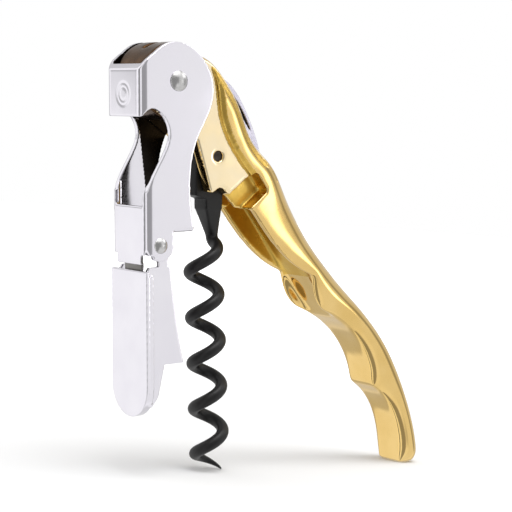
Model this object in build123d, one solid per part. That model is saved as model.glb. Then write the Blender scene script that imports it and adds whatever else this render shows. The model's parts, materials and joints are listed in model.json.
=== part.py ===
from build123d import *
from math import atan2, cos, degrees, hypot, pi, radians, sin, tan
import os

# Double-hinged lever corkscrew, millimetres.
#
# Every piece is drawn in the head frame: the main rivet's axis is the Y axis through the origin, the worm
# hangs along -Z, the handle leaves to +X and the lever's plate faces -X. Side outlines are (x, z) points.
# At the end the whole tool is turned and moved so that it stands on its worm tip and its tail.

# ---- driving dimensions: handle ----
HEAD_RADIUS = 8.85            # round of the head about the main rivet
HANDLE_SLOPE = 53.5           # grip's direction below the horizontal
BACK_ROUND = 4.0              # rounding of the grip's back edges
HEAD_ROUND = 0.9              # rounding of the head's round, where it clears the lever's folds
SHANK_GAP = 0.2               # free space each side of the worm's shank
CHANNEL_GAP = 0.45            # free space round the folded worm
CHANNEL_FLOOR = 4.3           # channel floor, behind the line from the main rivet along the grip
CHANNEL_END = 90.0            # where the worm channel runs out, along the grip
CHEEK_PROUD = 0.1             # how far the folded lever's cheeks stand out past the grip
POCKET_DEPTH = 5.4            # lip-ledge pocket, measured like the channel floor
TAIL_X, TAIL_Z = 70.6, -97.4  # front corner of the tail, which stands on the table
TAIL_BACK = 77.2

# ---- driving dimensions: levers ----
SHEET = 1.2                   # upper lever's sheet
LOWER_SHEET = 0.9             # lower lever's sheet
SIDE_GAP = 0.1                # between sliding flat faces
PLATE_FACE = -10.3            # outer face of the top plate
WEB_FACE = -9.1               # outer face of the webs further down
FOLD_RADIUS = 1.9             # outer radius of the long folds
PLATE_TOP = 2.6
PLATE_BOTTOM = -7.9
WINDOW_INSET = 0.5            # window's side edge, in from the cheek's inner face
WINDOW_BOTTOM = -27.9         # lower end of the crown-cap window
HINGE_X, HINGE_Z = -5.1, -36.9
LOBE_RADIUS = 3.6
UPPER_LEDGE_Z = -34.1         # underside of the upper lip ledges
UPPER_LEDGE_REACH = 2.4       # how far they stand in from the cheek's inner face
HEM_GAP = 0.25                # between the lower web and its folded hem
HINGE_WEB_DROP = 4.4          # upper web's end below the hinge rivet
LOWER_WEB_DROP = 5.7          # lower web's start below the hinge rivet
LOWER_LENGTH = 33.8           # lower web, from its top edge to its round end
LOWER_LEDGE_Z = -64.3

# ---- driving dimensions: worm, knife and rivets ----
WORM_X, WORM_Z = 12.0, -17.2  # worm pin
WORM_OD = 9.6
WIRE_D = 2.9
WING_GAP = 0.2                # between the folded worm and the lower lever's wings
WORM_TURNS = 5
WORM_PITCH = 10.9
WORM_TOP = -37.9              # start of the first turn
WORM_LEAN = 2.0               # lean of the turns' axis
COIL_OFFSET = -0.35           # turns' axis from the pin, at the first turn
POINT_TURNS = 0.4             # part of a turn over which the wire is ground to its point
POINT_RADIUS = 0.25           # blunt end of the point
SHANK_END = -29.7             # lower end of the flattened shank
NECK_OFFSET, NECK_WIDTH = 1.2, 4.6
SHANK_WIDTH = 5.0             # across the flattened eye
EYE_RADIUS = 4.0
BLADE = 1.2                   # knife blade's thickness
KNIFE_RING = 5.8              # knife's round root about the main rivet
BLADE_TIP = 38.5              # main rivet to blade tip
WASHER = 0.12                 # friction washers beside the blade
MAIN_SHAFT_R, MAIN_HEAD_R, MAIN_HEAD_H = 1.6, 2.45, 1.0
HINGE_SHAFT_R, HINGE_HEAD_R, HINGE_HEAD_H = 1.15, 1.85, 0.8
PIN_R = 1.25
RUNNING = 0.05                # radial clearance of every turning fit
CHEEK_CLEARANCE = 0.3         # between the folded lever's edge and the handle's shoulder
SPRING = 0.5                  # leaf spring's strip
SPRING_WIDTH = 7.0
NICK_DEPTH = 0.3              # knife's nail nick

# ---- range of the lever ----
LEVER_CLOSED = 36.5           # from the standing pose to lying on the grip

# ---- sizes that follow ----
COIL_LENGTH = WORM_PITCH * WORM_TURNS
COIL_RADIUS = (WORM_OD - WIRE_D) / 2
LEAN = radians(WORM_LEAN)
TIP_X = WORM_X + COIL_OFFSET + COIL_RADIUS * cos(LEAN) + COIL_LENGTH * sin(LEAN)
TIP_Z = WORM_TOP + COIL_RADIUS * sin(LEAN) - COIL_LENGTH * cos(LEAN) - POINT_RADIUS
STAND = atan2(TIP_Z - TAIL_Z, TAIL_X - TIP_X)
HEAD_HALF_WIDTH = WORM_OD / 2 + WING_GAP + LOWER_SHEET
LEVER_IN = HEAD_HALF_WIDTH + SIDE_GAP
LEVER_OUT = LEVER_IN + SHEET
BODY_HALF_WIDTH = LEVER_OUT - CHEEK_PROUD
LOWER_OUT = LEVER_IN - SIDE_GAP
LOWER_IN = LOWER_OUT - LOWER_SHEET
SLOT_HALF = SHANK_WIDTH / 2 + SHANK_GAP
CHANNEL_HALF = WORM_OD / 2 + CHANNEL_GAP
KNIFE_SLOT = BLADE + 2 * WASHER + 0.06
FAR = 60.0                    # comfortably past any edge, for cutters


def grip_point(along, out):
    """Point in the head frame from a distance along the grip and one out of its finger side."""
    slope = radians(HANDLE_SLOPE)
    return (along * cos(slope) - out * sin(slope), -along * sin(slope) - out * cos(slope))


def side_face(*edges):
    """Face in the XZ plane from edges drawn as (x, z) points, closed by a straight line if it is open."""
    wire = Wire(edges)
    if not wire.is_closed:
        wire = Wire(list(edges) + [Line(wire @ 1, wire @ 0)])
    return Plane.XZ * make_face(wire)


def slab(face, low, high):
    """Solid between two widths from a face in the XZ plane."""
    return extrude(face.moved(Location((0, low, 0))), amount=high - low, dir=(0, 1, 0))


def mirrored(shape):
    """A shape and its twin across the middle plane."""
    return shape + mirror(shape, about=Plane.XZ)


def rod(x, z, radius, half):
    """Cylinder across the tool, centred on the middle plane."""
    return Location((x, 0, z)) * Rotation(90, 0, 0) * Cylinder(radius, 2 * half)


def polygon(points, radius=0.0):
    """Face in the XZ plane from corners, with one radius or a list of them."""
    return side_face(*FilletPolyline(*points, radius=radius, close=True).edges())


def turned(shape, angle, x=0.0, z=0.0):
    """Shape turned about an axis across the tool, positive from -Z towards +X."""
    return shape.rotate(Axis((x, 0, z), (0, -1, 0)), angle)


def domed_rivet(x, z, shaft, head, height, seat):
    """Rivet with two domed heads that sit on faces at +-seat."""
    sphere = (head**2 + height**2) / (2 * height)
    half_profile = Wire([
        Line((0, 0), (shaft, 0)),
        Line((shaft, 0), (shaft, seat)),
        Line((shaft, seat), (head, seat)),
        RadiusArc((head, seat), (0, seat + height), -sphere),
        Line((0, seat + height), (0, 0)),
    ])
    half = revolve(make_face(half_profile), Axis.Y)
    return Location((x, 0, z)) * (half + mirror(half, about=Plane.XZ))


# ---- upper lever ----
def cheek_outline():
    """Side outline of the upper lever without its crown-cap notch."""
    hinge_line = HINGE_Z - HINGE_WEB_DROP
    edges = [
        Line((PLATE_FACE, PLATE_TOP), (-8.6, 4.8)),
        Line((-8.6, 4.8), (-4.6, 7.7)),
        Spline((-4.6, 7.7), (0.3, 8.75), (5.2, 6.6), (8.6, 2.6), (9.8, -2.0), (8.3, -7.5), (5.0, -13.5),
               (3.2, -21.0), (3.2, -27.0), (4.15, UPPER_LEDGE_Z)),
        Line((4.15, UPPER_LEDGE_Z), (HINGE_X + LOBE_RADIUS, UPPER_LEDGE_Z)),
        Line((HINGE_X + LOBE_RADIUS, UPPER_LEDGE_Z), (HINGE_X + LOBE_RADIUS, HINGE_Z)),
        ThreePointArc((HINGE_X + LOBE_RADIUS, HINGE_Z), (HINGE_X, HINGE_Z - LOBE_RADIUS),
                      (HINGE_X - LOBE_RADIUS, HINGE_Z)),
        Line((HINGE_X - LOBE_RADIUS, HINGE_Z), (HINGE_X - LOBE_RADIUS, hinge_line)),
        Line((HINGE_X - LOBE_RADIUS, hinge_line), (PLATE_FACE, hinge_line)),
        Line((PLATE_FACE, hinge_line), (PLATE_FACE, PLATE_TOP)),
    ]
    return side_face(*edges)


def folded_channel(face_x, half_out, sheet, radius, low, high):
    """Sheet folded to a channel that opens to +X, between two heights."""
    def section(x, half, corner):
        outline = FilletPolyline((FAR, -half), (x, -half), (x, half), (FAR, half), radius=corner)
        return make_face(Wire(list(outline.edges()) + [Line(outline @ 1, outline @ 0)]))

    sheet_face = section(face_x, half_out, radius)
    inner = section(face_x + sheet, half_out - sheet, radius - sheet)
    return Location((0, 0, low)) * extrude(sheet_face - inner, high - low)


def make_upper_lever():
    """Folded channel with plate, crown-cap window, lip ledges and hinge lobes."""
    step = WINDOW_BOTTOM + 3.3
    bottom = HINGE_Z - HINGE_WEB_DROP
    plate = folded_channel(PLATE_FACE, LEVER_OUT, SHEET, FOLD_RADIUS, (PLATE_BOTTOM + step) / 2, 20)
    web = folded_channel(WEB_FACE, LEVER_OUT, SHEET, FOLD_RADIUS, bottom - 5, (PLATE_BOTTOM + step) / 2)
    lever = (plate + web) & slab(cheek_outline(), -LEVER_OUT, LEVER_OUT)
    notch = side_face(
        Line((-FAR, PLATE_BOTTOM), (-9.6, PLATE_BOTTOM)),
        Spline((-9.6, PLATE_BOTTOM), (-7.0, -6.1), (-2.6, -10.6), (-5.0, -18.0), (-8.4, step)),
        Line((-8.4, step), (-FAR, step)),
    )
    lever -= slab(notch, -FAR, FAR)
    middle = (PLATE_BOTTOM + WINDOW_BOTTOM) / 2
    window = Box(8, 2 * (LEVER_IN - WINDOW_INSET), PLATE_BOTTOM - WINDOW_BOTTOM)
    lever -= Location((WEB_FACE, 0, middle)) * window
    relief = Box(4, 4, 6)
    for side in (-1, 1):
        lever -= Location((WEB_FACE, side * (LOWER_IN + 1.8), HINGE_Z - 5.2)) * relief
    arm = UPPER_LEDGE_REACH + SHEET
    ledge = Location((1.4, LEVER_OUT - arm / 2, UPPER_LEDGE_Z + SHEET / 2)) * Box(5.5, arm, SHEET)
    lever += mirrored(ledge)
    near_ledge = (UPPER_LEDGE_Z - SHEET / 10, UPPER_LEDGE_Z + SHEET / 10)
    bend_edges = lever.edges().filter_by(Axis.X).filter_by_position(Axis.Z, *near_ledge)
    lever = fillet(bend_edges.group_by(Axis.Y)[0] + bend_edges.group_by(Axis.Y)[-1], 0.75 * SHEET)
    lever -= rod(0, 0, MAIN_SHAFT_R + RUNNING, FAR)
    lever -= rod(HINGE_X, HINGE_Z, HINGE_SHAFT_R, FAR)
    return lever


# ---- lower lever ----
def make_lower_lever():
    """Web with hemmed edges and a round end, two wings with rolled ledges, and two hinge ears."""
    top = HINGE_Z - LOWER_WEB_DROP
    end = top - LOWER_LENGTH
    web_inner = WEB_FACE + LOWER_SHEET
    plate = Plane.YZ * (
        Location((0, (top + end + LEVER_OUT) / 2)) * Rectangle(2 * LEVER_OUT, top - end - LEVER_OUT)
        + Location((0, end + LEVER_OUT)) * Circle(LEVER_OUT)
    )
    hem_start = top - 1.2
    hem_depth = 2 * LOWER_SHEET + HEM_GAP
    web = Location((WEB_FACE, 0, 0)) * extrude(plate, LOWER_SHEET)
    hem = Location((WEB_FACE + 0.01, 0, 0)) * extrude(plate, hem_depth - 0.01)
    hem -= Location((0, 0, hem_start + FAR / 2)) * Box(FAR, FAR, FAR)
    hem -= Location((0, 0, end + 4.6 + FAR / 2)) * Box(FAR, 2 * LOWER_IN, FAR)
    hem -= Location((0, 0, end + LEVER_OUT)) * Rotation(0, 90, 0) * Cylinder(LOWER_IN, FAR)
    wing_left = WEB_FACE + 0.3
    wing = side_face(
        Line((wing_left, hem_start), (-7.4, HINGE_Z - 4.9)),
        Line((-7.4, HINGE_Z - 4.9), (-1.6, HINGE_Z - 4.9)),
        Spline((-1.6, HINGE_Z - 4.9), (-0.9, -48.0), (0.2, -56.0), (2.0, LOWER_LEDGE_Z)),
        Line((2.0, LOWER_LEDGE_Z), (-3.3, LOWER_LEDGE_Z)),
        Line((-3.3, LOWER_LEDGE_Z), (-5.1, -71.6)),
        Line((-5.1, -71.6), (-6.9, end + 2.6)),
        Line((-6.9, end + 2.6), (wing_left, end + 3.6)),
    )
    bearing = 2.3
    ear = polygon([
        (HINGE_X - bearing, HINGE_Z + 3.0), (HINGE_X + 2.4, HINGE_Z + 3.0), (HINGE_X + 3.0, HINGE_Z - 5.4),
        (HINGE_X + 0.2, HINGE_Z - 5.4), (HINGE_X + 0.1, HINGE_Z - 2.6), (HINGE_X - bearing, HINGE_Z - 0.4),
    ], [0.4, 1.5, 0, 0, 0.8, 1.0])
    side = slab(wing, LOWER_IN, LOWER_OUT) + slab(ear, LOWER_IN, LOWER_OUT)
    lever = web + hem + mirrored(side)
    below_top = polygon([(-FAR, top), (FAR, top), (FAR, end - 1), (-FAR, end - 1)])
    round_end = slab(below_top, -LEVER_OUT, LEVER_OUT)
    lever = lever & (round_end + slab(ear, -LOWER_OUT, LOWER_OUT) + slab(wing, -LOWER_OUT, LOWER_OUT))
    groove = Location((web_inner + 0.12, LEVER_OUT, hem_start + FAR / 2 - FAR)) * Box(0.25, 0.8, FAR)
    lever -= mirrored(groove)
    lever -= rod(HINGE_X, HINGE_Z, HINGE_SHAFT_R + RUNNING, FAR)
    return lever


# ---- worm ----
def make_worm():
    """Flattened eye, neck and five right-hand turns that end in a point."""
    right = WORM_X + NECK_OFFSET + NECK_WIDTH / 2
    left = right - NECK_WIDTH
    shoulder = SHANK_END + 3.4
    eye = side_face(
        Line((WORM_X + EYE_RADIUS, WORM_Z), (right, SHANK_END)),
        Line((right, SHANK_END), (left, SHANK_END)),
        Line((left, SHANK_END), (left, shoulder - 1.0)),
        Line((left, shoulder - 1.0), (WORM_X - EYE_RADIUS, shoulder)),
        Line((WORM_X - EYE_RADIUS, shoulder), (WORM_X - EYE_RADIUS, WORM_Z)),
        ThreePointArc((WORM_X - EYE_RADIUS, WORM_Z), (WORM_X, WORM_Z + EYE_RADIUS),
                      (WORM_X + EYE_RADIUS, WORM_Z)),
    )
    tab = slab(eye, -SHANK_WIDTH / 2, SHANK_WIDTH / 2) - rod(WORM_X, WORM_Z, PIN_R + RUNNING, FAR)

    taper_rise = WORM_PITCH * POINT_TURNS
    point = Helix(WORM_PITCH, taper_rise, COIL_RADIUS)
    coil = Helix(WORM_PITCH, COIL_LENGTH - taper_rise, COIL_RADIUS)
    coil = coil.moved(Location((0, 0, taper_rise), (0, 0, 360 * POINT_TURNS)))
    wire = Circle(WIRE_D / 2)
    turns = sweep(Plane(coil @ 0, z_dir=coil % 0) * wire, coil, is_frenet=True)
    blunt = Plane(point @ 0, z_dir=point % 0) * Circle(POINT_RADIUS)
    full = Plane(point @ 1, z_dir=point % 1) * wire
    tip = sweep([blunt, full], point, is_frenet=True, multisection=True)

    climb = atan2(WORM_PITCH, 2 * pi * COIL_RADIUS)
    bend = WIRE_D / 2 + 0.5
    start = Vector(COIL_RADIUS, 0, COIL_LENGTH)
    neck = start + Vector(0, bend * (1 - sin(climb)), bend * cos(climb))
    elbow_axis = Axis(neck - Vector(0, bend, 0), (1, 0, 0))
    elbow = revolve(Location(neck) * wire, elbow_axis, degrees(climb) - 90)
    pieces = [turns, tip, elbow]

    # The coil's own frame stands on its tip, leans, and hangs under the eye.
    hang = Location((WORM_X + COIL_OFFSET, 0, WORM_TOP)) * Rotation(0, -WORM_LEAN, 0)
    hang = hang * Location((0, 0, -COIL_LENGTH))
    low_section = hang * Location(neck) * wire
    neck_top = Location((WORM_X + NECK_OFFSET, 0, SHANK_END))
    high_section = neck_top * RectangleRounded(NECK_WIDTH, SHANK_WIDTH, 0.6)
    worm = tab + loft([low_section, high_section])
    for piece in pieces:
        worm += hang * piece
    return worm


# ---- foil knife ----
def knife_outline():
    """Side outline of the folded blade: root, bulging spine, tip and the edge inside the slot."""
    spine = [grip_point(0.5, -KNIFE_RING), grip_point(6.0, -12.0), grip_point(11.5, -14.9),
             grip_point(20.0, -15.0), grip_point(28.1, -13.2), grip_point(BLADE_TIP, -8.2)]
    edge = [grip_point(BLADE_TIP, -8.2), grip_point(30.0, -7.2), grip_point(18.0, -7.0)]
    return side_face(Spline(*spine), Spline(*edge), Line(edge[-1], grip_point(3.0, -KNIFE_RING + 1.0)))


def make_knife():
    """Blade with a round root and a nail nick on each side."""
    blade = slab(knife_outline(), -BLADE / 2, BLADE / 2)
    blade += rod(0, 0, KNIFE_RING, BLADE / 2)
    nick = side_face(
        ThreePointArc(grip_point(11.0, -13.6), grip_point(18.0, -14.3), grip_point(25.0, -13.2)),
        ThreePointArc(grip_point(25.0, -13.2), grip_point(18.0, -13.3), grip_point(11.0, -13.6)),
    )
    blade -= mirrored(slab(nick, BLADE / 2 - NICK_DEPTH, BLADE / 2 + 1))
    return blade - rod(0, 0, MAIN_SHAFT_R + RUNNING, FAR)


# ---- handle ----
def grip_outline():
    """Side outline of the full-width grip, from the head's shoulder to the tail."""
    back = [(6.4, 6.2), (10.3, 4.9), (15.2, 0.0), (18.6, -5.2), (23.2, -14.5), (28.0, -19.2), (33.0, -27.0),
            (41.0, -39.5), (55.0, -54.0), (66.0, -66.5), (73.0, -80.0), (76.6, -92.0),
            (TAIL_BACK, TAIL_Z - (TAIL_BACK - TAIL_X) * tan(STAND))]
    finger = [(TAIL_X, TAIL_Z), (70.4, -92.0), (67.3, -82.4), (60.9, -76.2), (60.3, -72.2), (55.8, -64.0),
              (45.4, -56.6), (41.6, -53.6), (40.1, -50.0), (39.8, -46.8), (33.0, -43.0), (25.5, -35.5),
              (21.4, -30.2)]
    return side_face(
        Spline(*back),
        Line(back[-1], finger[0]),
        Spline(*finger[:4]),
        Line(finger[3], finger[4]),
        Spline(*finger[4:7]),
        Spline(*finger[6:10]),
        Spline(*finger[9:]),
        Line(finger[-1], (14.0, -25.5)),
        Line((14.0, -25.5), (0.0, -4.0)),
        Line((0.0, -4.0), back[0]),
    )


def head_outline():
    """Side outline of the two head cheeks below the head's round."""
    return polygon([
        (-1.0, -8.0), (6.0, -13.1), (9.9, -25.9), (12.5, -24.4), (14.2, -25.2), (18.6, -29.6), (21.6, -30.0),
        (22.0, -16.0), (12.0, 0.0), (0.0, 0.0),
    ], [0, 0.8, 0.5, 0.5, 0.4, 0.5, 0, 0, 0, 0])


def grip_box(low, high, out_low, out_high, half, corner=0.0):
    """Cutter with straight sides along the grip, between two distances along it and two out of it."""
    corners = [grip_point(low, out_low), grip_point(high, out_low), grip_point(high, out_high),
               grip_point(low, out_high)]
    return slab(polygon(corners, [corner, corner, 0, 0]), -half, half)


def make_handle():
    """Die-cast handle with head cheeks, slots, worm channel, lever recess and ledge pockets."""
    grip = slab(grip_outline(), -BODY_HALF_WIDTH, BODY_HALF_WIDTH)
    rim = grip.faces().filter_by(Axis.Y).edges()
    back_edges = rim.filter_by(lambda edge: edge.length > 100)
    grip = fillet(back_edges, BACK_ROUND)
    head = rod(0, 0, HEAD_RADIUS, HEAD_HALF_WIDTH)
    head = fillet(head.edges().filter_by(GeomType.CIRCLE), HEAD_ROUND)
    head += slab(head_outline(), -HEAD_HALF_WIDTH, HEAD_HALF_WIDTH)
    handle = grip + head

    cleared = Location((CHEEK_CLEARANCE, 0, 0)) * cheek_outline()
    closed_cheek = turned(slab(cleared, HEAD_HALF_WIDTH, FAR), LEVER_CLOSED)
    swept_round = rod(0, 0, HEAD_RADIUS + 0.25, FAR) - rod(0, 0, FAR, HEAD_HALF_WIDTH)
    handle -= mirrored(closed_cheek)
    handle -= swept_round

    ledge_r = hypot(4.15, UPPER_LEDGE_Z)
    reach = LEVER_IN - UPPER_LEDGE_REACH - 0.25
    pocket = grip_box(ledge_r - 4.2, ledge_r + 1.6, -POCKET_DEPTH, FAR, FAR, 0.8)
    handle -= pocket - Box(4 * FAR, 2 * reach, 4 * FAR)
    shank_end = hypot(WORM_X, WORM_Z) + 4 * EYE_RADIUS
    shank_start = hypot(WORM_X, WORM_Z) - EYE_RADIUS - 0.7
    handle -= grip_box(shank_start, shank_end, -CHANNEL_FLOOR, FAR, SLOT_HALF, 2.0)
    handle -= grip_box(shank_end - 0.6, CHANNEL_END, -CHANNEL_FLOOR, FAR, CHANNEL_HALF, 1.5)
    knife_room = polygon([
        (0, 0), (-0.625 * FAR, FAR), (FAR, FAR), (FAR, -FAR / 3), grip_point(BLADE_TIP + 2.0, -14.0),
        grip_point(BLADE_TIP + 2.0, -6.3), grip_point(18.0, -6.3), grip_point(3.0, -KNIFE_RING + 1.6),
    ])
    handle -= slab(knife_room, -KNIFE_SLOT / 2, KNIFE_SLOT / 2)
    handle -= rod(0, 0, KNIFE_RING + 0.4, KNIFE_SLOT / 2)
    handle -= rod(0, 0, MAIN_SHAFT_R, FAR)
    handle -= rod(WORM_X, WORM_Z, PIN_R, FAR)
    return handle


# ---- small pieces ----
def make_small_pieces():
    """Rivets, pin, leaf spring and knife washers."""
    seat = LEVER_OUT + 0.03
    main_rivet = domed_rivet(0, 0, MAIN_SHAFT_R, MAIN_HEAD_R, MAIN_HEAD_H, seat)
    hinge_rivet = domed_rivet(HINGE_X, HINGE_Z, HINGE_SHAFT_R, HINGE_HEAD_R, HINGE_HEAD_H, LEVER_OUT)
    worm_pin = rod(WORM_X, WORM_Z, PIN_R, HEAD_HALF_WIDTH - 0.5)
    leaf_top, leaf_low = HINGE_Z + 4.5, HINGE_Z - LOWER_WEB_DROP - 2.5
    leaf_x = WEB_FACE + SHEET
    leaf_centre = Location((leaf_x + SPRING / 2, 0, (leaf_top + leaf_low) / 2))
    leaf = leaf_centre * Box(SPRING, SPRING_WIDTH, leaf_top - leaf_low)
    inner, outer = MAIN_SHAFT_R + RUNNING, 4.5
    washer = rod(0, 0, outer, WASHER / 2) - rod(0, 0, inner, WASHER)
    place = BLADE / 2 + WASHER / 2 + 0.015
    washers = Location((0, place, 0)) * washer + Location((0, -place, 0)) * washer
    return {"main_rivet": main_rivet, "hinge_rivet": hinge_rivet, "worm_pin": worm_pin,
            "hinge_spring": leaf, "knife_washers": washers}


# ---- assembly: every piece, then the stand on worm tip and tail ----
pieces = {
    "handle": make_handle(),
    "upper_lever": make_upper_lever(),
    "lower_lever": make_lower_lever(),
    "worm": make_worm(),
    "foil_knife": make_knife(),
    **make_small_pieces(),
}

stood = {name: turned(piece, degrees(STAND)) for name, piece in pieces.items()}
boxes = [piece.bounding_box() for piece in stood.values()]
middle_x = (min(box.min.X for box in boxes) + max(box.max.X for box in boxes)) / 2
floor_z = min(box.min.Z for box in boxes)
origin = Location((-middle_x, 0, -floor_z))

os.makedirs("parts", exist_ok=True)
for name, piece in stood.items():
    shape = origin * piece
    shape.label = name
    export_step(shape, f"parts/{name}.step")
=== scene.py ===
"""Looks of a double-hinged lever corkscrew: gilt handle, nickel-plated levers, black worm, foil knife.

Lengths are in millimetres inside the classes and in metres in Blender. Every piece is shaped from its
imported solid, so it stays where the frame has it, and rides on the body that the solid belongs to.
"""

import json
import logging
from dataclasses import dataclass, field
from enum import Enum
from math import atan2, cos, degrees, radians, sin
from typing import Any

import bmesh
import bpy
import numpy as np
from mathutils import Euler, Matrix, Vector
from mathutils.kdtree import KDTree


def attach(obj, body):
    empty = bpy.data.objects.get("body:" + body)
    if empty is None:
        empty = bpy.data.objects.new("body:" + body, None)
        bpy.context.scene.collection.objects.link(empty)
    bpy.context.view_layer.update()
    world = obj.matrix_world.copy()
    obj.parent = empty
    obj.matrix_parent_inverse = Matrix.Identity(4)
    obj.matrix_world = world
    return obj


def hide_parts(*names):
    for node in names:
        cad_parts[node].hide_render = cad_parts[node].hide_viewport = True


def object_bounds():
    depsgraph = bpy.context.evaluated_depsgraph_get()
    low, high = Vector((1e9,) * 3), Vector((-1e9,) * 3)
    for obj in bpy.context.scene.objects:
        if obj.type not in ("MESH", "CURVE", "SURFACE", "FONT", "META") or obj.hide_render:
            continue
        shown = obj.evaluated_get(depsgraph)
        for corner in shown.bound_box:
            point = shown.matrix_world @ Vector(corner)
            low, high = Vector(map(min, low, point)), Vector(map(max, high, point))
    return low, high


MM = 0.001
WELD_MM = 0.002
PATCH_LOW, PATCH_HIGH = 0.3, 0.7  # most of a noise node's values lie between these
LOG = logging.getLogger("corkscrew")

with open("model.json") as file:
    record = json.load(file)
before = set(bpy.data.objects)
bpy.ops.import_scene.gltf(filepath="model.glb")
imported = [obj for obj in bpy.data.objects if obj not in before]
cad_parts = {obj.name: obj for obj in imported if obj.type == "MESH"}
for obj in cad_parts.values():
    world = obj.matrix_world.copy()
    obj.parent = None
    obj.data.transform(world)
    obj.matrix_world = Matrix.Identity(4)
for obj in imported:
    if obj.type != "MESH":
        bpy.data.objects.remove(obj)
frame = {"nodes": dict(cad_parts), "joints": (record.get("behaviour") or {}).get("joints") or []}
cad_low, cad_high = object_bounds()


# ---- colour and nodes ----
def linear(hex_colour: str) -> tuple[float, float, float, float]:
    """Turns an sRGB hex colour to linear light.

    Args:
        hex_colour: Six hex digits after a hash.

    Returns:
        Red, green, blue and an alpha of one.
    """
    parts = [int(hex_colour[i:i + 2], 16) / 255 for i in (1, 3, 5)]
    return (*(p / 12.92 if p <= 0.04045 else ((p + 0.055) / 1.055) ** 2.4 for p in parts), 1.0)


def add_node(tree: bpy.types.NodeTree, kind: str, settings: dict[str, Any] | None = None,
             inputs: dict[Any, Any] | None = None) -> bpy.types.Node:
    """Adds one node with its settings, socket values and links.

    Args:
        tree: Node tree that takes the node.
        kind: Blender's identifier of the node type.
        settings: Attributes set on the node.
        inputs: Socket name or number to a value, or to another node's output socket.

    Returns:
        The new node.
    """
    node = tree.nodes.new(kind)
    for name, value in (settings or {}).items():
        setattr(node, name, value)
    for name, value in (inputs or {}).items():
        if isinstance(value, bpy.types.NodeSocket):
            tree.links.new(value, node.inputs[name])
        else:
            node.inputs[name].default_value = value
    return node


def per_metre(size_mm: float) -> float:
    """Noise scale whose features are about that many millimetres apart."""
    return 1.0 / (size_mm * MM)


def bare_material(name: str) -> bpy.types.Material:
    """Makes a material whose node tree is empty.

    Args:
        name: The material's name.

    Returns:
        The new material.
    """
    material = bpy.data.materials.new(name)
    material.use_nodes = True
    material.node_tree.nodes.clear()
    return material


# ---- finishes ----
@dataclass(frozen=True)
class MetalFinish:
    """A metal surface: its tint, how mirror-like it is, and the marks that its making left.

    The two colours are how much the plate's tint drifts over a few millimetres. The roughness runs between
    two values in soft patches, as hand buffing leaves it, and a shallow swell keeps reflections imperfect.
    """

    name: str
    light: str
    deep: str
    rough_low: float
    rough_high: float
    patch_mm: float
    swell_mm: float
    swell_height_mm: float
    grain_mm: float = 0.0
    grain_axis: tuple[float, float, float] = (1.0, 1.0, 1.0)
    grain_height_mm: float = 0.0

    def build(self) -> bpy.types.Material:
        """Makes the material.

        Returns:
            A material with a metallic Principled surface.
        """
        material = bare_material(self.name)
        tree = material.node_tree
        place = add_node(tree, "ShaderNodeTexCoord").outputs["Object"]
        patches = add_node(tree, "ShaderNodeTexNoise", {"noise_dimensions": "3D"}, {
            "Vector": place, "Scale": per_metre(self.patch_mm), "Detail": 3.0, "Roughness": 0.5})
        tint = add_node(tree, "ShaderNodeMix", {"data_type": "RGBA"}, {
            "Factor": patches.outputs["Fac"], 6: linear(self.light), 7: linear(self.deep)})
        rough = add_node(tree, "ShaderNodeMapRange", None, {
            "Value": patches.outputs["Fac"], "From Min": PATCH_LOW, "From Max": PATCH_HIGH,
            "To Min": self.rough_low, "To Max": self.rough_high})
        swell = add_node(tree, "ShaderNodeTexNoise", {"noise_dimensions": "3D"}, {
            "Vector": place, "Scale": per_metre(self.swell_mm), "Detail": 1.0})
        relief = add_node(tree, "ShaderNodeBump", None, {
            "Strength": 1.0, "Distance": self.swell_height_mm * MM, "Height": swell.outputs["Fac"]})
        if self.grain_mm:
            stretched = add_node(tree, "ShaderNodeMapping", None, {"Vector": place, "Scale": self.grain_axis})
            grain = add_node(tree, "ShaderNodeTexNoise", {"noise_dimensions": "3D"}, {
                "Vector": stretched.outputs["Vector"], "Scale": per_metre(self.grain_mm), "Detail": 2.0})
            relief = add_node(tree, "ShaderNodeBump", None, {
                "Strength": 1.0, "Distance": self.grain_height_mm * MM, "Height": grain.outputs["Fac"],
                "Normal": relief.outputs["Normal"]})
        shader = add_node(tree, "ShaderNodeBsdfPrincipled", None, {
            "Base Color": tint.outputs[2], "Metallic": 1.0, "Roughness": rough.outputs["Result"],
            "Normal": relief.outputs["Normal"]})
        add_node(tree, "ShaderNodeOutputMaterial", None, {"Surface": shader.outputs["BSDF"]})
        return material


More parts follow.
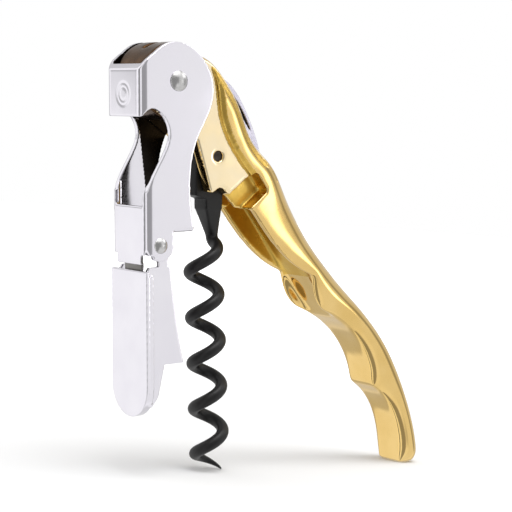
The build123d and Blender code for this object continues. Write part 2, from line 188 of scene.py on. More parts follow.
@dataclass(frozen=True)
class CoatedWire:
    """Black coat on steel wire, read as sprayed and baked fluoropolymer: soft black with a fine orange peel.

    Such a polymer has a low IOR, and its highlight is broad and dim.
    """

    name: str = "sprayed_fluoropolymer_coat"
    deep: str = "#0B0B0C"
    worn: str = "#1E1D1D"
    ior: float = 1.38
    rough_low: float = 0.36
    rough_high: float = 0.5
    patch_mm: float = 2.5
    peel_mm: float = 0.45
    peel_height_mm: float = 0.012

    def build(self) -> bpy.types.Material:
        """Makes the material.

        Returns:
            A material with a dielectric Principled surface.
        """
        material = bare_material(self.name)
        tree = material.node_tree
        place = add_node(tree, "ShaderNodeTexCoord").outputs["Object"]
        patches = add_node(tree, "ShaderNodeTexNoise", None, {
            "Vector": place, "Scale": per_metre(self.patch_mm), "Detail": 3.0})
        tint = add_node(tree, "ShaderNodeMix", {"data_type": "RGBA"}, {
            "Factor": patches.outputs["Fac"], 6: linear(self.deep), 7: linear(self.worn)})
        rough = add_node(tree, "ShaderNodeMapRange", None, {
            "Value": patches.outputs["Fac"], "To Min": self.rough_low, "To Max": self.rough_high})
        # A real coat's peel is about 0.2 mm apart, drawn coarser here so that it shows.
        peel = add_node(tree, "ShaderNodeTexNoise", None, {
            "Vector": place, "Scale": per_metre(self.peel_mm), "Detail": 1.0})
        relief = add_node(tree, "ShaderNodeBump", None, {
            "Strength": 1.0, "Distance": self.peel_height_mm * MM, "Height": peel.outputs["Fac"]})
        shader = add_node(tree, "ShaderNodeBsdfPrincipled", None, {
            "Base Color": tint.outputs[2], "Roughness": rough.outputs["Result"], "IOR": self.ior,
            "Normal": relief.outputs["Normal"]})
        add_node(tree, "ShaderNodeOutputMaterial", None, {"Surface": shader.outputs["BSDF"]})
        return material


# Gold plate over a polished zinc casting: a warm mirror whose broad swells come from buffing by hand.
GILT_CASTING = MetalFinish("polished_gilt_zinc_casting", "#F1D291", "#D5B062", 0.06, 0.14, 9.0, 6.0, 0.05)
# The same gold in the recesses, where the buffing wheel does not reach: rougher, as cast, and darker in tint,
# which is painted shade.
GILT_RECESS_PAINTED_SHADE = MetalFinish("as_cast_gilt_recess_painted_shade", "#E6C468", "#C29A40", 0.24, 0.36, 4.0, 1.5, 0.05)
# The head's flat cheeks carry a painted highlight: a paler, creamier and a little smoother copy of the gilt.
GILT_CHEEK_PAINTED_HIGHLIGHT = MetalFinish("gilt_cheek_painted_highlight", "#FFF0D2", "#F2DAA6", 0.05, 0.12, 6.0, 6.0, 0.03)
# The head's round under the lever is painted shade: gold darkened to brown and black.
GILT_ROUND_PAINTED_SHADE = MetalFinish("gilt_round_painted_shade", "#6B4D30", "#21170F", 0.2, 0.34, 3.5, 2.0, 0.03)
# Bright nickel over pressed steel: a cool, almost white mirror with the faint broad waves of pressed sheet.
NICKEL_SHEET = MetalFinish("bright_nickel_on_pressed_steel", "#EDEBF0", "#DFDCE4", 0.07, 0.14, 8.0, 9.0, 0.02)
# Headed steel rivet, barrel-tumbled and plated: the tumbling leaves it greyer and softer than the sheet.
TUMBLED_RIVET = MetalFinish("tumbled_nickel_plated_rivet", "#D9D8D8", "#B4B3B2", 0.2, 0.32, 1.2, 0.8, 0.02)
# Ground stainless strip: faint marks of a fine wheel, 0.12 mm long and 0.015 mm apart, blur what it mirrors.
GROUND_STAINLESS = MetalFinish("ground_stainless_blade", "#CCC9D4", "#B0ACBA", 0.16, 0.26, 4.0, 6.0, 0.01,
                               0.12, (1.0, 1.0, 8.0), 0.002)
# Hardened spring strip, tempered and left unplated: darker and duller than the plated sheet.
TEMPERED_STRIP = MetalFinish("tempered_spring_strip", "#8D8B88", "#6A6764", 0.28, 0.4, 2.0, 3.0, 0.01)
# Inside of the folded sheet: painted shade, nearly black where the pressing's inside lies in shade.
INSIDE_PAINTED_SHADE = MetalFinish("inside_of_pressing_painted_shade", "#2A2624", "#141211", 0.22, 0.34, 3.0, 5.0, 0.02)
# Turned steel pin, painted dark as shade: the eye sees only a dark end down a hole.
PIN_PAINTED_SHADE = MetalFinish("steel_pin_painted_shade", "#4A4642", "#2B2825", 0.3, 0.45, 0.8, 0.6, 0.01)


# ---- mesh work ----
class Edge(Enum):
    """How soft a piece's edges are left."""

    CRISP = 2
    SOFT = 6


def copy_of(node: str, name: str) -> bpy.types.Object:
    """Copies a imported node's mesh to a new object of its own, with its points welded.

    Args:
        node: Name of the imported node.
        name: Name of the new piece.

    Returns:
        The new object, in the row frame.
    """
    mesh = frame["nodes"][node].data.copy()
    mesh.materials.clear()
    mesh.name = name
    work = bmesh.new()
    work.from_mesh(mesh)
    bmesh.ops.remove_doubles(work, verts=work.verts, dist=WELD_MM * MM)
    work.to_mesh(mesh)
    work.free()
    piece = bpy.data.objects.new(name, mesh)
    bpy.context.scene.collection.objects.link(piece)
    return piece


def apply_modifiers(piece: bpy.types.Object) -> None:
    """Bakes a piece's modifiers into its mesh.

    Args:
        piece: The piece.
    """
    graph = bpy.context.evaluated_depsgraph_get()
    mesh = bpy.data.meshes.new_from_object(piece.evaluated_get(graph))
    mesh.name = piece.name
    piece.modifiers.clear()
    piece.data = mesh


def add_easing(piece: bpy.types.Object, name: str, passes: int, group: str = "") -> None:
    """Adds a smoothing modifier.

    Args:
        piece: The piece.
        name: The modifier's name.
        passes: How often each point moves half way to its neighbours' middle.
        group: The vertex group that is smoothed, or nothing for all points.
    """
    ease = piece.modifiers.new(name, "SMOOTH")
    ease.factor = 0.5
    ease.iterations = passes
    ease.vertex_group = group


def remesh(piece: bpy.types.Object, voxel_mm: float, edge: Edge) -> None:
    """Rebuilds a piece's surface as even small faces, with its edges eased.

    Args:
        piece: The piece, a closed solid.
        voxel_mm: Size of a face.
        edge: How soft the edges are left.
    """
    grid = piece.modifiers.new("even_faces", "REMESH")
    grid.mode = "VOXEL"
    grid.voxel_size = voxel_mm * MM
    add_easing(piece, "eased_edges", edge.value)
    apply_modifiers(piece)
    piece.data.shade_smooth()


def points_of(piece: bpy.types.Object) -> np.ndarray:
    """Reads a piece's points.

    Args:
        piece: The piece.

    Returns:
        The points in millimetres, as an array of rows.
    """
    rows = np.empty(len(piece.data.vertices) * 3)
    piece.data.vertices.foreach_get("co", rows)
    return rows.reshape(-1, 3) / MM


def set_points(piece: bpy.types.Object, points: np.ndarray) -> None:
    """Writes a piece's points, given in millimetres."""
    piece.data.vertices.foreach_set("co", (points * MM).ravel())
    piece.data.update()


def face_facts(piece: bpy.types.Object, head: "HeadFrame") -> tuple[np.ndarray, np.ndarray]:
    """Reads a piece's faces in the head frame.

    Args:
        piece: The piece.
        head: The head frame.

    Returns:
        The faces' centres in millimetres and their normals, as arrays of rows.
    """
    count = len(piece.data.polygons)
    centres, normals = np.empty(count * 3), np.empty(count * 3)
    piece.data.polygons.foreach_get("center", centres)
    piece.data.polygons.foreach_get("normal", normals)
    return (head.local(centres.reshape(-1, 3) / MM),
            head.local(normals.reshape(-1, 3) + head.pivot))


def dress_faces(piece: bpy.types.Object, finish: bpy.types.Material, chosen: np.ndarray) -> None:
    """Gives a second finish to some of a piece's faces.

    Args:
        piece: The piece, which has its main finish.
        finish: The second finish.
        chosen: One truth value for each face.
    """
    slots = np.zeros(len(chosen), dtype=np.int32)
    piece.data.polygons.foreach_get("material_index", slots)
    slots[chosen] = len(piece.data.materials)
    piece.data.materials.append(finish)
    piece.data.polygons.foreach_set("material_index", slots)
    piece.data.update()


def smooth_step(value: np.ndarray, start: float | np.ndarray, end: float) -> np.ndarray:
    """Rises smoothly from nought at start to one at end.

    Args:
        value: Where to read the step.
        start: Where it leaves nought.
        end: Where it reaches one.

    Returns:
        The step at each value.
    """
    share = np.clip((value - start) / (end - start), 0.0, 1.0)
    return share * share * (3.0 - 2.0 * share)


def settle(piece: bpy.types.Object, body: str, finish: bpy.types.Material, slot: str,
           *nodes: str) -> None:
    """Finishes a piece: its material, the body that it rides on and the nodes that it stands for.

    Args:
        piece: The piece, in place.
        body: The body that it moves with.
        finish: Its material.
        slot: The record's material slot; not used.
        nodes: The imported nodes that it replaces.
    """
    piece.data.materials.clear()
    piece.data.materials.append(finish)
    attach(piece, body)
    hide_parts(*nodes)
    LOG.info("%s: %d faces, rides on %s", piece.name, len(piece.data.polygons), body)


# ---- the head frame ----
@dataclass
class HeadFrame:
    """The frame of the sizes: the main rivet at the origin, the worm along -Z and the levers at -X.

    The tool stands on its worm tip and its tail, which turns this frame a few degrees about the rivet.
    """

    hinge_x: float = -5.1
    hinge_z: float = -36.9
    pivot: np.ndarray = field(init=False)
    turn: float = field(init=False)

    def __post_init__(self) -> None:
        """Reads the rivet's place and the turn from the joints."""
        places = {joint["name"]: np.array(joint["pos_m"]) / MM for joint in frame["joints"]}
        self.pivot = places["lever_swing"]
        across = places["lower_lever_swing"] - self.pivot
        self.turn = atan2(across[2], across[0]) - atan2(self.hinge_z, self.hinge_x)

    def local(self, points: np.ndarray) -> np.ndarray:
        """Turns row-frame points to head-frame points.

        Args:
            points: Row-frame points in millimetres, as an array of rows.

        Returns:
            The same points in the head frame.
        """
        moved = points - self.pivot
        c, s = cos(self.turn), sin(self.turn)
        return np.column_stack([moved[:, 0] * c + moved[:, 2] * s, moved[:, 1],
                                moved[:, 2] * c - moved[:, 0] * s])

    def world(self, points: np.ndarray) -> np.ndarray:
        """Turns head-frame points to row-frame points.

        Args:
            points: Head-frame points in millimetres, as an array of rows.

        Returns:
            The same points in the row frame.
        """
        c, s = cos(self.turn), sin(self.turn)
        turned = np.column_stack([points[:, 0] * c - points[:, 2] * s, points[:, 1],
                                  points[:, 2] * c + points[:, 0] * s])
        return turned + self.pivot


# ---- sub-assemblies ----
@dataclass
class Handle:
    """Cast handle with its main rivet, worm pin and knife washers.

    Along runs down the handle from the main rivet, out from its back to the fingers, half sideways from its
    middle, and across from -1 at the back to 1 at the fingers. A facing is the least share of a face's
    normal that points the named way.
    """

    head: HeadFrame
    slope: float = radians(53.5)
    tail_start: float = 72.0
    tail_end: float = 104.0
    tail_narrowing: float = 0.15
    voxel: float = 0.32
    rivet_voxel: float = 0.12
    head_half: float = 5.9
    body_half: float = 7.1
    head_radius: float = 8.85
    channel_half: float = 5.25
    channel_floor: float = 4.3
    recess_end: float = 36.5
    channel_dull_end: float = 62.0
    channel_facing: float = 0.6
    floor_facing: float = 0.7
    floor_band: float = 0.6
    slack: float = 0.1
    rim_inset: float = 0.3
    recess_below: float = 0.06
    recess_above: float = 0.1
    wall_foot: float = 0.15
    top_band: float = 0.2
    cheek_band: float = 0.25
    cheek_facing: float = 0.5
    hidden_inset: float = 0.2
    hidden_front: float = 3.0
    shoulder_slope: float = 1.7
    shoulder_drop: float = 0.95
    shoulder_passes: int = 8
    shoulder_foot: float = 0.45
    foot_height: float = 0.3
    crown: float = 0.22
    crown_start: float = 30.5
    ridge_start: float = 0.75
    ridge_end: float = -0.45
    ridge_from: float = 43.0
    ridge_to: float = 92.0
    crown_end: float = 46.0
    edge_window: int = 9
    skin_inset: float = 0.3
    skin_outset: float = 0.6
    skin_depth: float = 4.35
    skin_from: float = 0.05
    skin_to: float = 0.45
    skin_fade: float = 6.0
    heel_height: float = 3.2
    heel_reach: float = 7.0
    heel_round: float = 1.8
    heel_narrowing: float = 0.12
    pocket_start: float = 29.9
    pocket_end: float = 36.3
    pocket_half: float = 3.3
    pocket_depth: float = 5.4
    pocket_slack: float = 0.2
    buff_start: float = 44.0
    buff_end: float = 76.0
    buff_levels: int = 20
    buff_passes: int = 110

    def grip_places(self, points: np.ndarray) -> tuple[np.ndarray, np.ndarray]:
        """Reads how far down the handle points are, and how far out to the fingers.

        Args:
            points: Head-frame points.

        Returns:
            The distances along and out, in millimetres.
        """
        return (points[:, 0] * cos(self.slope) - points[:, 2] * sin(self.slope),
                -points[:, 0] * sin(self.slope) - points[:, 2] * cos(self.slope))

    def narrow_tail(self, points: np.ndarray) -> np.ndarray:
        """Narrows the tail.

        Args:
            points: Head-frame points.

        Returns:
            The moved points.
        """
        along = self.grip_places(points)[0]
        points[:, 1] *= 1.0 - self.tail_narrowing * smooth_step(along, self.tail_start, self.tail_end)
        return points

    def crown_sides(self, points: np.ndarray) -> np.ndarray:
        """Crowns the grip's sides, whose ridge slants from near the fingers to near the tail's back.

        Args:
            points: Head-frame points.

        Returns:
            The moved points.
        """
        along, out = self.grip_places(points)
        place = np.round(along).astype(int) - int(np.round(along.min()))
        back, fingers = np.full(place.max() + 1, np.inf), np.full(place.max() + 1, -np.inf)
        np.minimum.at(back, place, out)
        np.maximum.at(fingers, place, out)
        window = np.ones(self.edge_window) / self.edge_window
        back, fingers = (np.convolve(np.pad(edge, self.edge_window // 2, "edge"), window, "valid")
                         for edge in (back, fingers))
        across = (2 * out - (back + fingers)[place]) / (fingers - back)[place]
        # Beside the channel only the outer skin moves, so the channel keeps its room for the worm.
        half = np.abs(points[:, 1])
        inner = self.channel_half + self.skin_inset - self.skin_depth * smooth_step(
            -across, self.skin_from, self.skin_to)
        skin = np.maximum(
            smooth_step(half, inner, self.body_half - self.skin_outset),
            smooth_step(along, self.channel_dull_end, self.channel_dull_end + self.skin_fade))
        share = skin * smooth_step(along, self.crown_start, self.crown_end)
        ridge = np.interp(along, (self.ridge_from, self.ridge_to), (self.ridge_start, self.ridge_end))
        fall = (np.clip(across, -1.0, 1.0) - ridge) / (1.0 + np.abs(ridge))
        points[:, 1] *= 1.0 - self.crown * share * fall ** 2
        return points

    def round_heel(self, points: np.ndarray) -> np.ndarray:
        """Rounds the heel, the back corner of the tail, where it meets the table.

        Args:
            points: Row-frame points, whose table is at height nought.

        Returns:
            The moved points.
        """
        low = np.clip(1.0 - points[:, 2] / self.heel_height, 0.0, 1.0) ** 2
        back = points[:, 0].max()
        share = low * np.clip(1.0 - (back - points[:, 0]) / self.heel_reach, 0.0, 1.0)
        points[:, 0] -= self.heel_round * share
        points[:, 1] *= 1.0 - self.heel_narrowing * low
        return points

    def slope_shoulder(self, piece: bpy.types.Object) -> np.ndarray:
        """Slopes the grip's shoulder down to the lever recess, where the casting has a broad chamfer.

        Args:
            piece: The casting.

        Returns:
            One truth value for each face: whether it is on the chamfer.
        """
        points = self.head.local(points_of(piece))
        half = np.abs(points[:, 1])
        along = self.grip_places(points)[0]
        near = (half > self.head_half + self.wall_foot) & (along < self.recess_end)
        top = near & (half > self.body_half - self.top_band)
        recess = np.flatnonzero(
            (half > self.head_half - self.recess_below) & (half < self.head_half + self.recess_above)
            & (points[:, 1] > 0) & (along < self.pocket_start))
        tree = KDTree(len(recess))
        for place, index in enumerate(recess):
            tree.insert((points[index, 0], points[index, 2], 0.0), place)
        tree.balance()
        band, moved = np.zeros(len(points), dtype=bool), np.zeros(len(points), dtype=bool)
        for index in np.flatnonzero(near):
            gap = tree.find((points[index, 0], points[index, 2], 0.0))[2]
            band[index] = gap < self.shoulder_slope
            moved[index] = band[index] and half[index] > self.head_half + self.shoulder_foot
            if top[index]:
                lowered = self.shoulder_drop * max(0.0, 1.0 - gap / self.shoulder_slope)
                points[index, 1] -= np.sign(points[index, 1]) * lowered
        # The recess stays flat right up to its wall, so that the folded lever clears it.
        foot = (half > self.head_half) & (half < self.head_half + self.foot_height) & (
            along < self.recess_end)
        points[foot, 1] = np.sign(points[foot, 1]) * self.head_half
        set_points(piece, self.head.world(points))
        group = piece.vertex_groups.new(name="chamfer")
        group.add(np.flatnonzero(moved).tolist(), 1.0, "REPLACE")
        add_easing(piece, "even_chamfer", self.shoulder_passes, group.name)
        apply_modifiers(piece)
        corners = np.empty(len(piece.data.loops), dtype=np.int32)
        piece.data.loops.foreach_get("vertex_index", corners)
        starts = np.empty(len(piece.data.polygons), dtype=np.int32)
        piece.data.polygons.foreach_get("loop_start", starts)
        # A face is on the chamfer when two or more of its corners are.
        return np.add.reduceat(band[corners].astype(int), starts) >= 2

    def buff(self, piece: bpy.types.Object) -> None:
        """Rounds the grip more and more towards the tail, as the buffing wheel leaves it.

        Args:
            piece: The casting.
        """
        along = self.grip_places(self.head.local(points_of(piece)))[0]
        group = piece.vertex_groups.new(name="buffed")
        share = smooth_step(along, self.buff_start, self.buff_end)
        levels = np.round(share * self.buff_levels).astype(int)
        for level in range(1, self.buff_levels + 1):
            chosen = np.flatnonzero(levels == level).tolist()
            group.add(chosen, level / self.buff_levels, "REPLACE")
        add_easing(piece, "buffed_edges", self.buff_passes, group.name)
        apply_modifiers(piece)

    def dress(self, piece: bpy.types.Object, finishes: "Finishes", chamfer: np.ndarray) -> None:
        """Gives the chamfer, pockets and channel the as-cast finish, whose darker tint is painted shade, the
        head's cheeks a painted highlight and its round painted shade.

        Args:
            piece: The casting, which has its main finish.
            finishes: All the finishes.
            chamfer: One truth value for each face of the chamfer.
        """
        centres, normals = face_facts(piece, self.head)
        along, out = self.grip_places(centres)
        to_fingers = self.grip_places(normals)[1]
        half, sideways = np.abs(centres[:, 1]), np.abs(normals[:, 1])
        shallow = out > -self.pocket_depth
        inside = (half < self.channel_half + self.slack) & (along < self.channel_dull_end) & shallow
        pocket = (along > self.pocket_start) & (along < self.pocket_end) & (
            half < self.body_half - self.rim_inset) & (half > self.pocket_half) & (
            out > -self.pocket_depth - self.pocket_slack)
        channel = inside & (normals[:, 1] * centres[:, 1] < 0) & (sideways > self.channel_facing)
        floor = inside & (to_fingers > self.floor_facing) & (along > self.recess_end / 2) & (
            out < -self.channel_floor + self.floor_band)
        hidden = (np.hypot(centres[:, 0], centres[:, 2]) < self.head_radius + self.slack) & (
            half < self.head_half - self.hidden_inset) & (centres[:, 0] < self.hidden_front)
        cheek = (np.abs(half - self.head_half) < self.cheek_band) & (
            sideways > self.cheek_facing) & (along < self.pocket_start) & ~chamfer
        # The chamfer, pocket, channel and floor get the rougher gold, whose darker tint is painted shade.
        dress_faces(piece, finishes.recess, chamfer | pocket | channel | floor)
        # Painted highlight: the head's flat cheeks get the paler, creamier gilt.
        dress_faces(piece, finishes.cheek, cheek)
        # Painted shade: the head's round under the lever gets the dark brown gold.
        dress_faces(piece, finishes.round_shade, hidden)

    def build(self, finishes: "Finishes") -> None:
        """Makes and dresses the handle's pieces.

        Args:
            finishes: All the finishes.
        """
        casting = copy_of("handle", "cast_handle")
        remesh(casting, self.voxel, Edge.SOFT)
        points = self.narrow_tail(self.crown_sides(self.head.local(points_of(casting))))
        set_points(casting, self.round_heel(self.head.world(points)))
        self.buff(casting)
        chamfer = self.slope_shoulder(casting)
        settle(casting, "handle", finishes.gilt, "gold", "handle")
        self.dress(casting, finishes, chamfer)
        rivet = copy_of("main_rivet", "main_rivet_domed")
        remesh(rivet, self.rivet_voxel, Edge.CRISP)
        settle(rivet, "handle", finishes.rivet, "rivet_steel", "main_rivet")
        pin = copy_of("worm_pin", "worm_pin_turned")
        remesh(pin, self.rivet_voxel, Edge.CRISP)
        # The pin's dark finish is painted shade down its hole.
        settle(pin, "handle", finishes.pin, "rivet_steel", "worm_pin")
        for slot in frame["nodes"]["knife_washers"].material_slots:
            slot.material = finishes.strip


@dataclass
class Levers:
    """Upper and lower levers with their hinge rivet and leaf spring."""

    head: HeadFrame
    upper_voxel: float = 0.2
    lower_voxel: float = 0.15
    rivet_voxel: float = 0.1
    leaf_voxel: float = 0.15
    half_inside: float = 6.0
    inside_slack: float = 0.15
    inside_facing: float = 0.7
    plate_inside: float = -9.1
    plate_slack: float = 1.5
    bright_edge_x: float = -0.7
    bright_edge_z: float = -22.0
    bright_edge_slope: float = 0.12
    notch_top: float = -8.5
    emblem_z: float = -2.9
    emblem_rings: tuple[float, ...] = (1.5, 2.5)
    emblem_width: float = 0.3
    emblem_depth: float = 0.05
    plate_face: float = -10.3
    plate_near: float = 0.3
    plate_far: float = 0.6

    def press_emblem(self, piece: bpy.types.Object) -> None:
        """Presses a plain double ring into the top plate.

        Args:
            piece: The upper lever.
        """
        points = self.head.local(points_of(piece))
        on_face = smooth_step(points[:, 0], self.plate_face + self.plate_far,
                              self.plate_face + self.plate_near)
        radius = np.hypot(points[:, 1], points[:, 2] - self.emblem_z)
        depth = np.zeros(len(points))
        for ring in self.emblem_rings:
            depth += self.emblem_depth * np.exp(-(((radius - ring) / self.emblem_width) ** 2))
        points[:, 0] += depth * on_face
        set_points(piece, self.head.world(points))

    def darken_inside(self, piece: bpy.types.Object, finish: bpy.types.Material) -> None:
        """Gives the painted-shade finish to the faces inside the folded cheeks behind a slanted line, and to
        the back of the top plate.

        Args:
            piece: The upper lever.
            finish: The nearly black painted-shade finish.
        """
        centres, normals = face_facts(piece, self.head)
        half = np.abs(centres[:, 1])
        inward = (half < self.half_inside + self.inside_slack) & (
            normals[:, 1] * centres[:, 1] < -self.inside_facing)
        # Ahead of this slanted line the inner faces stay bright nickel; behind it, and above the notch, they
        # get painted shade.
        edge = self.bright_edge_x + self.bright_edge_slope * (self.bright_edge_z - centres[:, 2])
        behind = (centres[:, 0] > edge) | (centres[:, 2] > self.notch_top)
        back_of_plate = (normals[:, 0] > self.inside_facing) & (
            centres[:, 0] < self.plate_inside + self.plate_slack) & (half < self.half_inside)
        dress_faces(piece, finish, (inward & behind) | back_of_plate)

    def build(self, finishes: "Finishes") -> None:
        """Makes and dresses the levers' pieces.

        Args:
            finishes: All the finishes.
        """
        upper = copy_of("upper_lever", "upper_lever_pressing")
        remesh(upper, self.upper_voxel, Edge.SOFT)
        self.press_emblem(upper)
        settle(upper, "upper_lever", finishes.nickel, "lever_steel", "upper_lever")
        self.darken_inside(upper, finishes.inside)
        lower = copy_of("lower_lever", "lower_lever_pressing")
        remesh(lower, self.lower_voxel, Edge.SOFT)
        settle(lower, "lower_lever", finishes.nickel, "lever_steel", "lower_lever")
        rivet = copy_of("hinge_rivet", "hinge_rivet_domed")
        remesh(rivet, self.rivet_voxel, Edge.CRISP)
        settle(rivet, "upper_lever", finishes.rivet, "rivet_steel", "hinge_rivet")
        leaf = copy_of("hinge_spring", "hinge_leaf_spring")
        remesh(leaf, self.leaf_voxel, Edge.CRISP)
        settle(leaf, "upper_lever", finishes.strip, "spring_steel", "hinge_spring")


@dataclass
class Worm:
    """Coated wire worm with its flattened eye."""

    voxel: float = 0.16

    def build(self, finishes: "Finishes") -> None:
        """Makes and dresses the worm.

        Args:
            finishes: All the finishes.
        """
        worm = copy_of("worm", "coated_worm")
        remesh(worm, self.voxel, Edge.SOFT)
        settle(worm, "worm", finishes.coat, "black_coat", "worm")


@dataclass
class FoilKnife:
    """Folding foil knife."""

    head: HeadFrame
    voxel: float = 0.12
    half_blade: float = 0.6
    nick_shallow: float = 0.1
    nick_deep: float = 0.4
    nick_facing: float = 0.5

    def build(self, finishes: "Finishes") -> None:
        """Makes and dresses the blade, whose nail nick gets painted shade.

        Args:
            finishes: All the finishes.
        """
        blade = copy_of("foil_knife", "foil_knife_blade")
        remesh(blade, self.voxel, Edge.CRISP)
        settle(blade, "foil_knife", finishes.blade, "blade_steel", "foil_knife")
        centres, normals = face_facts(blade, self.head)
        half = np.abs(centres[:, 1])
        nick = (half < self.half_blade - self.nick_shallow) & (half > self.half_blade - self.nick_deep) & (
            np.abs(normals[:, 1]) > self.nick_facing)
        # The nail nick gets the nearly black inside finish as painted shade.
        dress_faces(blade, finishes.inside, nick)


@dataclass
class Finishes:
    """The materials of the tool, each made once."""

    gilt: bpy.types.Material = field(default_factory=GILT_CASTING.build)
    # The recess, round, inside and pin finishes carry painted shade, and the cheek finish a painted
    # highlight.
    recess: bpy.types.Material = field(default_factory=GILT_RECESS_PAINTED_SHADE.build)
    # The cheek finish is a painted highlight.
    cheek: bpy.types.Material = field(default_factory=GILT_CHEEK_PAINTED_HIGHLIGHT.build)
    # The round's finish is painted shade.
    round_shade: bpy.types.Material = field(default_factory=GILT_ROUND_PAINTED_SHADE.build)
    nickel: bpy.types.Material = field(default_factory=NICKEL_SHEET.build)
    rivet: bpy.types.Material = field(default_factory=TUMBLED_RIVET.build)
    coat: bpy.types.Material = field(default_factory=CoatedWire().build)
    blade: bpy.types.Material = field(default_factory=GROUND_STAINLESS.build)
    inside: bpy.types.Material = field(default_factory=INSIDE_PAINTED_SHADE.build)
    strip: bpy.types.Material = field(default_factory=TEMPERED_STRIP.build)
    pin: bpy.types.Material = field(default_factory=PIN_PAINTED_SHADE.build)


# ---- studio ----
def towards(azimuth: float, elevation: float) -> Vector:
    """Makes a direction.

    Args:
        azimuth: Radians from -Y towards +X.
        elevation: Radians above the floor.

    Returns:
        The unit vector.
    """
    return Vector((sin(azimuth) * cos(elevation), -cos(azimuth) * cos(elevation), sin(elevation)))


@dataclass(frozen=True)
class Card:
    """A soft round patch of the surroundings, seen in the metal: a softbox if bright, a flag if dark.

    The angles are degrees: round the tool from -Y towards +X, above the floor, and the patch's half width.
    """

    azimuth: float
    elevation: float
    spread: float
    soft: float
    level: float

    def share(self, tree: bpy.types.NodeTree, direction: bpy.types.NodeSocket) -> bpy.types.NodeSocket:
        """Adds the nodes that say how far a direction is inside the patch.

        Args:
            tree: The world's node tree.
            direction: The direction's socket.

        Returns:
            A socket that runs from nought outside to one inside.
        """
        facing = add_node(tree, "ShaderNodeVectorMath", {"operation": "DOT_PRODUCT"}, {
            0: direction, 1: towards(radians(self.azimuth), radians(self.elevation))})
        share = add_node(tree, "ShaderNodeMapRange", {"interpolation_type": "SMOOTHSTEP"}, {
            "Value": facing.outputs["Value"], "From Min": cos(radians(self.spread + self.soft)),
            "From Max": cos(radians(self.spread))})
        return share.outputs["Result"]


@dataclass(frozen=True)
class Strip(Card):
    """An upright strip of the surroundings, which folds and rounded edges show as a line."""

    def share(self, tree: bpy.types.NodeTree, direction: bpy.types.NodeSocket) -> bpy.types.NodeSocket:
        """Adds the nodes of the patch with the direction's height taken out.

        Args:
            tree: The world's node tree.
            direction: The direction's socket.

        Returns:
            A socket that runs from nought outside to one inside.
        """
        level = add_node(tree, "ShaderNodeVectorMath", {"operation": "MULTIPLY"}, {
            0: direction, 1: (1, 1, 0)})
        flat = add_node(tree, "ShaderNodeVectorMath", {"operation": "NORMALIZE"}, {
            0: level.outputs["Vector"]})
        return super().share(tree, flat.outputs["Vector"])


@dataclass(frozen=True)
class Softbox:
    """A square soft light that looks at the middle of the tool.

    The azimuth is in degrees from -Y towards +X, the elevation in degrees above the floor, the distance from
    the middle and the side in metres, and the power in watts.
    """

    name: str
    azimuth: float
    elevation: float
    distance: float
    side: float
    power: float

    def build(self) -> None:
        """Adds the light."""
        lamp = bpy.data.lights.new(self.name, "AREA")
        lamp.size = self.side
        lamp.energy = self.power
        light = bpy.data.objects.new(self.name, lamp)
        back = towards(radians(self.azimuth), radians(self.elevation))
        light.location = (cad_low + cad_high) / 2 + back * self.distance
        light.rotation_euler = (-back).to_track_quat("-Z", "Y").to_euler()
        bpy.context.scene.collection.objects.link(light)


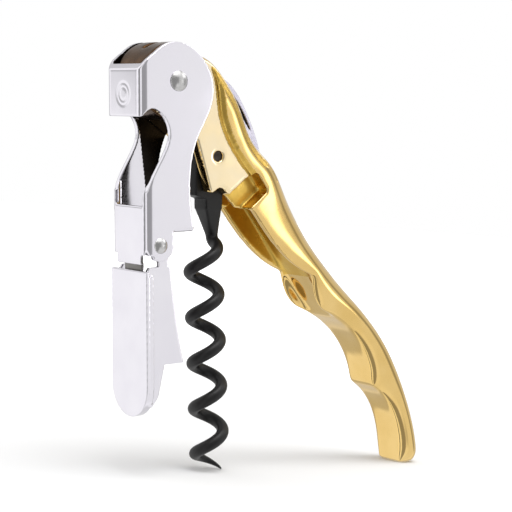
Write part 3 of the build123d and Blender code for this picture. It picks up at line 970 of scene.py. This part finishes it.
@dataclass
class Studio:
    """Pale floor, soft lights, surroundings and the camera."""

    azimuth: float = radians(-37.8)
    elevation: float = radians(2.6)
    roll: float = radians(4.2)
    distance: float = 0.4121
    side_step: float = 0.0051
    rise: float = 0.0020
    lens: float = 119.5
    clip_start: float = 0.01
    floor_radius: float = 2.5
    glow_start: float = 0.07
    glow_full: float = 0.4
    glow_level: float = 0.6
    ambient: float = 0.42
    cards: tuple[Card, ...] = (
        Card(0, -90, 62, 22, 1.06),
        Strip(-142, 0, 22, 6, 1.1),
        Card(-142, 4, 6, 4, 0.56),
        Strip(-111, 0, 5, 4, 1.25),
        Strip(-90, 0, 6, 5, 0.3),
        Strip(-64, 0, 7, 5, 1.15),
        Strip(-22, 0, 17, 8, 0.38),
        Strip(38, 0, 14, 12, 0.96),
        Strip(178, 0, 13, 6, 0.68),
        Strip(118, 0, 34, 14, 0.78),
        Card(44, 2, 2, 5, 3.2),
        Card(0, 72, 24, 18, 1.9),
    )
    softboxes: tuple[Softbox, ...] = (
        Softbox("overhead_softbox", -20, 75, 0.9, 0.4, 2.6),
        Softbox("side_softbox", 70, 35, 0.9, 0.4, 0.8),
    )

    def surroundings(self) -> None:
        """Makes the world: a white room with bright and dark cards, and plain white to the camera."""
        world = bpy.data.worlds.new("white_studio")
        world.use_nodes = True
        tree = world.node_tree
        tree.nodes.clear()
        direction = add_node(tree, "ShaderNodeTexCoord").outputs["Generated"]
        level: float | bpy.types.NodeSocket = self.ambient
        for card in self.cards:
            level = add_node(tree, "ShaderNodeMix", {"data_type": "FLOAT"}, {
                0: card.share(tree, direction), 2: level, 3: card.level}).outputs[0]
        white = linear("#FFFFFF")
        room = add_node(tree, "ShaderNodeBackground", None, {"Color": white, "Strength": level})
        plain = add_node(tree, "ShaderNodeBackground", None, {"Color": white, "Strength": 1.0})
        seen = add_node(tree, "ShaderNodeLightPath").outputs["Is Camera Ray"]
        mix = add_node(tree, "ShaderNodeMixShader", None, {
            0: seen, 1: room.outputs[0], 2: plain.outputs[0]})
        add_node(tree, "ShaderNodeOutputWorld", None, {"Surface": mix.outputs[0]})
        bpy.context.scene.world = world

    def floor(self) -> None:
        """Makes the round pale floor."""
        work = bmesh.new()
        bmesh.ops.create_circle(work, cap_ends=True, segments=96, radius=self.floor_radius)
        mesh = bpy.data.meshes.new("studio_floor")
        work.to_mesh(mesh)
        work.free()
        floor = bpy.data.objects.new("studio_floor", mesh)
        bpy.context.scene.collection.objects.link(floor)
        material = bare_material("matt_white_board")
        tree = material.node_tree
        # The board's far parts get less of the lamps' light, and a faint glow there makes up for it.
        place = add_node(tree, "ShaderNodeTexCoord").outputs["Object"]
        reach = add_node(tree, "ShaderNodeVectorMath", {"operation": "LENGTH"}, {0: place})
        glow = add_node(tree, "ShaderNodeMapRange", {"interpolation_type": "SMOOTHSTEP"}, {
            "Value": reach.outputs["Value"], "From Min": self.glow_start, "From Max": self.glow_full,
            "To Max": self.glow_level})
        shader = add_node(tree, "ShaderNodeBsdfPrincipled", None, {
            "Base Color": linear("#E4E4E4"), "Roughness": 0.9, "Specular IOR Level": 0.1,
            "Emission Color": linear("#FFFFFF"), "Emission Strength": glow.outputs["Result"]})
        add_node(tree, "ShaderNodeOutputMaterial", None, {"Surface": shader.outputs["BSDF"]})
        mesh.materials.append(material)
        floor.visible_glossy = False

    def camera(self) -> None:
        """Makes the camera."""
        data = bpy.data.cameras.new("studio_camera")
        data.lens = self.lens
        data.clip_start = self.clip_start
        camera = bpy.data.objects.new("studio_camera", data)
        back = towards(self.azimuth, self.elevation)
        aim = (-back).to_track_quat("-Z", "Y") @ Euler((0, 0, self.roll)).to_quaternion()
        right, up = aim @ Vector((1, 0, 0)), aim @ Vector((0, 1, 0))
        camera.rotation_mode = "QUATERNION"
        camera.rotation_quaternion = aim
        middle = (cad_low + cad_high) / 2
        camera.location = middle + back * self.distance - right * self.side_step + up * self.rise
        bpy.context.scene.collection.objects.link(camera)
        bpy.context.scene.camera = camera

    def build(self) -> None:
        """Sets the studio up."""
        self.camera()
        self.surroundings()
        self.floor()
        for softbox in self.softboxes:
            softbox.build()
        bpy.context.scene.view_settings.view_transform = "Standard"


def main() -> None:
    """Builds the studio and every sub-assembly in order."""
    logging.basicConfig(level=logging.INFO, format="%(name)s %(message)s")
    Studio().build()
    head = HeadFrame()
    LOG.info("head frame turned by %.2f degrees", degrees(head.turn))
    finishes = Finishes()
    Handle(head).build(finishes)
    Levers(head).build(finishes)
    Worm().build(finishes)
    FoilKnife(head).build(finishes)


if __name__ == "__main__":
    main()
